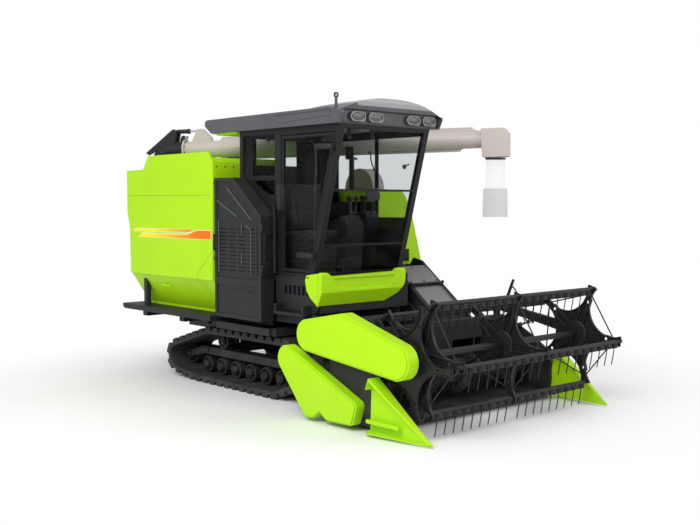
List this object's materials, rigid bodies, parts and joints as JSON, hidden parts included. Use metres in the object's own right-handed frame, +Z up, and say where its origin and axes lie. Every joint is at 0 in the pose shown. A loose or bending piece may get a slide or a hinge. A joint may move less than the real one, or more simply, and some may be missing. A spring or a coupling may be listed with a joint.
{
  "type": "combine harvester",
  "caption": "Full-feeding rice and wheat combine on rubber crawler tracks: tined reel header, feeder house, glazed cab, grain tank and swinging discharge tube.",
  "frame": {"origin": "on the ground, below the middle of the whole machine's box", "axes": "+X forward to the cutting header, +Y to the driver's left, +Z up"},
  "size_m": [4.7499, 2.6567, 2.6639],
  "materials": {
    "chassis_frame": "satin",
    "track_left": "matte",
    "track_right": "matte",
    "track_frames": "matte",
    "track_wheels": "satin",
    "drive_gearbox": "satin",
    "engine": "matte",
    "rear_deck": "satin",
    "cab_base": "satin",
    "cab_right_frame": "satin",
    "cab_left_wall": "satin",
    "cab_rear_wall": "satin",
    "cab_front_frame": "satin",
    "cab_roof": "satin",
    "lamps": "gloss",
    "cab_glass": "gloss",
    "seat": "matte",
    "control_console": "matte",
    "front_bumper": "gloss",
    "entry_step": "satin",
    "grab_handle": "satin",
    "tank_side": "gloss",
    "tank_shell": "gloss",
    "thresher_body": "satin",
    "thresher_hood": "gloss",
    "straw_hood": "gloss",
    "drum_cover": "satin",
    "exhaust_pipe": "satin",
    "unloader_rest": "satin",
    "screen_door": "satin",
    "cab_door": "satin",
    "cab_door_glass": "gloss",
    "feeder_house": "satin",
    "feeder_covers": "satin",
    "header_pan": "satin",
    "knife_bar": "satin",
    "dividers": "gloss",
    "header_drive_cover": "gloss",
    "header_auger": "satin",
    "reel_arms": "satin",
    "reel_drive_cover": "gloss",
    "reel_rotor": "satin",
    "reel_control": "satin",
    "reel_bar_1": "satin",
    "reel_bar_2": "satin",
    "reel_bar_3": "satin",
    "reel_bar_4": "satin",
    "reel_bar_5": "satin",
    "unloader_elbow": "satin",
    "unloader_tube": "satin",
    "unloader_sleeve": "matte",
    "header_barrel": "satin",
    "header_rod": "satin",
    "reel_barrels": "satin",
    "reel_rods": "satin",
    "unloader_barrel": "satin",
    "unloader_rod": "satin"
  },
  "bodies": {
    "chassis": {"chassis_frame": "chassis_frame", "track_left": "track_left", "track_right": "track_right", "track_frames": "track_frames", "track_wheels": "track_wheels", "drive_gearbox": "drive_gearbox", "engine": "engine", "rear_deck": "rear_deck", "cab_base": "cab_base", "cab_right_frame": "cab_right_frame", "cab_left_wall": "cab_left_wall", "cab_rear_wall": "cab_rear_wall", "cab_front_frame": "cab_front_frame", "cab_roof": "cab_roof", "lamps": "lamps", "cab_glass": "cab_glass", "seat": "seat", "control_console": "control_console", "front_bumper": "front_bumper", "entry_step": "entry_step", "grab_handle": "grab_handle", "tank_side": "tank_side", "tank_shell": "tank_shell", "thresher_body": "thresher_body", "thresher_hood": "thresher_hood", "straw_hood": "straw_hood", "drum_cover": "drum_cover", "exhaust_pipe": "exhaust_pipe", "unloader_rest": "unloader_rest"},
    "header": {"feeder_house": "feeder_house", "feeder_covers": "feeder_covers", "header_pan": "header_pan", "knife_bar": "knife_bar", "dividers": "dividers", "header_drive_cover": "header_drive_cover"},
    "auger": {"header_auger": "header_auger"},
    "reel_arms": {"reel_arms": "reel_arms", "reel_drive_cover": "reel_drive_cover"},
    "reel": {"reel_rotor": "reel_rotor"},
    "reel_control": {"reel_control": "reel_control"},
    "unloader_swing": {"unloader_elbow": "unloader_elbow"},
    "unloader_boom": {"unloader_tube": "unloader_tube", "unloader_sleeve": "unloader_sleeve"},
    "header_barrel": {"header_barrel": "header_barrel"},
    "header_rod": {"header_rod": "header_rod"},
    "reel_barrels": {"reel_barrels": "reel_barrels"},
    "reel_rods": {"reel_rods": "reel_rods"},
    "unloader_barrel": {"unloader_barrel": "unloader_barrel"},
    "unloader_rod": {"unloader_rod": "unloader_rod"},
    "cab_door": {"cab_door": "cab_door", "cab_door_glass": "cab_door_glass"},
    "screen_door": {"screen_door": "screen_door"},
    "reel_bar_1": {"reel_bar_1": "reel_bar_1"},
    "reel_bar_2": {"reel_bar_2": "reel_bar_2"},
    "reel_bar_3": {"reel_bar_3": "reel_bar_3"},
    "reel_bar_4": {"reel_bar_4": "reel_bar_4"},
    "reel_bar_5": {"reel_bar_5": "reel_bar_5"}
  },
  "joints": [
    {"name": "header_lift", "type": "hinge", "parent": "chassis", "child": "header", "pos_m": [0.21, 0.42657, 1.09], "axis": [0, -1, 0], "range_deg": [0, 22]},
    {"name": "auger_spin", "type": "hinge", "parent": "header", "child": "auger", "pos_m": [1.285, -0.11843, 0.3], "axis": [0, 1, 0], "continuous": true},
    {"name": "reel_lift", "type": "hinge", "parent": "header", "child": "reel_arms", "pos_m": [1.025, -0.11843, 0.79], "axis": [0, -1, 0], "range_deg": [0, 18]},
    {"name": "reel_spin", "type": "hinge", "parent": "reel_arms", "child": "reel", "pos_m": [1.93, -0.11843, 0.625], "axis": [0, 1, 0], "continuous": true},
    {"name": "reel_control_spin", "type": "hinge", "parent": "reel_arms", "child": "reel_control", "pos_m": [1.882, -1.14843, 0.577], "axis": [0, 1, 0], "continuous": true},
    {"name": "reel_bar_1_turn", "type": "hinge", "parent": "reel", "child": "reel_bar_1", "pos_m": [2.35397, -0.11843, 0.59535], "axis": [0, 1, 0], "continuous": true},
    {"name": "reel_bar_2_turn", "type": "hinge", "parent": "reel", "child": "reel_bar_2", "pos_m": [2.08921, -0.11843, 1.01905], "axis": [0, 1, 0], "continuous": true},
    {"name": "reel_bar_3_turn", "type": "hinge", "parent": "reel", "child": "reel_bar_3", "pos_m": [1.60443, -0.11843, 0.89819], "axis": [0, 1, 0], "continuous": true},
    {"name": "reel_bar_4_turn", "type": "hinge", "parent": "reel", "child": "reel_bar_4", "pos_m": [1.56958, -0.11843, 0.39978], "axis": [0, 1, 0], "continuous": true},
    {"name": "reel_bar_5_turn", "type": "hinge", "parent": "reel", "child": "reel_bar_5", "pos_m": [2.03282, -0.11843, 0.21262], "axis": [0, 1, 0], "continuous": true},
    {"name": "unloader_turn", "type": "hinge", "parent": "chassis", "child": "unloader_swing", "pos_m": [-1.96514, -0.89711, 2.28428], "axis": [0, 0, 1], "range_deg": [0, 233]},
    {"name": "unloader_lift", "type": "hinge", "parent": "unloader_swing", "child": "unloader_boom", "pos_m": [-1.74754, -0.73433, 2.42096], "axis": [0.599, -0.8007, 0], "range_deg": [0, 30]},
    {"name": "header_barrel_tilt", "type": "hinge", "parent": "chassis", "child": "header_barrel", "pos_m": [0.185, 0.42657, 0.65], "axis": [0, -1, 0], "range_deg": [0, 26.07]},
    {"name": "header_rod_slide", "type": "slide", "parent": "header_barrel", "child": "header_rod", "axis": [0.8897, 0, -0.4566], "range_m": [0, 0.1731]},
    {"name": "reel_barrels_tilt", "type": "hinge", "parent": "header", "child": "reel_barrels", "pos_m": [1.11, -0.11843, 0.57], "axis": [0, -1, 0], "range_deg": [0, 17.34]},
    {"name": "reel_rods_slide", "type": "slide", "parent": "reel_barrels", "child": "reel_rods", "axis": [0.9415, 0, 0.337], "range_m": [0, 0.07694]},
    {"name": "unloader_barrel_tilt", "type": "hinge", "parent": "unloader_swing", "child": "unloader_barrel", "pos_m": [-1.82076, -0.7891, 2.47874], "axis": [0.599, -0.8007, 0], "range_deg": [0, 21.62]},
    {"name": "unloader_rod_slide", "type": "slide", "parent": "unloader_barrel", "child": "unloader_rod", "axis": [0.8005, 0.5988, 0.0244], "range_m": [-0.04097, 0]},
    {"name": "cab_door_swing", "type": "hinge", "parent": "chassis", "child": "cab_door", "pos_m": [0.60045, -0.98343, 1.299], "axis": [0.2622, 0, 0.965], "range_deg": [0, 80]},
    {"name": "screen_door_swing", "type": "hinge", "parent": "chassis", "child": "screen_door", "pos_m": [0.065, -1.12043, 1.3], "axis": [0, 0, 1], "range_deg": [0, 95]}
  ],
  "couplings": [
    {"joint": "reel_control_spin", "follows": "reel_spin", "ratio": 1},
    {"joint": "reel_bar_1_turn", "follows": "reel_spin", "ratio": -1},
    {"joint": "reel_bar_2_turn", "follows": "reel_spin", "ratio": -1},
    {"joint": "reel_bar_3_turn", "follows": "reel_spin", "ratio": -1},
    {"joint": "reel_bar_4_turn", "follows": "reel_spin", "ratio": -1},
    {"joint": "reel_bar_5_turn", "follows": "reel_spin", "ratio": -1},
    {"joint": "header_barrel_tilt", "follows": "header_lift", "ratio": 1.1513},
    {"joint": "header_rod_slide", "follows": "header_lift", "m_per_rad": 0.42291},
    {"joint": "reel_barrels_tilt", "follows": "reel_lift", "ratio": 0.9324},
    {"joint": "reel_rods_slide", "follows": "reel_lift", "m_per_rad": 0.23323},
    {"joint": "unloader_barrel_tilt", "follows": "unloader_lift", "ratio": 0.68073},
    {"joint": "unloader_rod_slide", "follows": "unloader_lift", "m_per_rad": -0.072128}
  ]
}
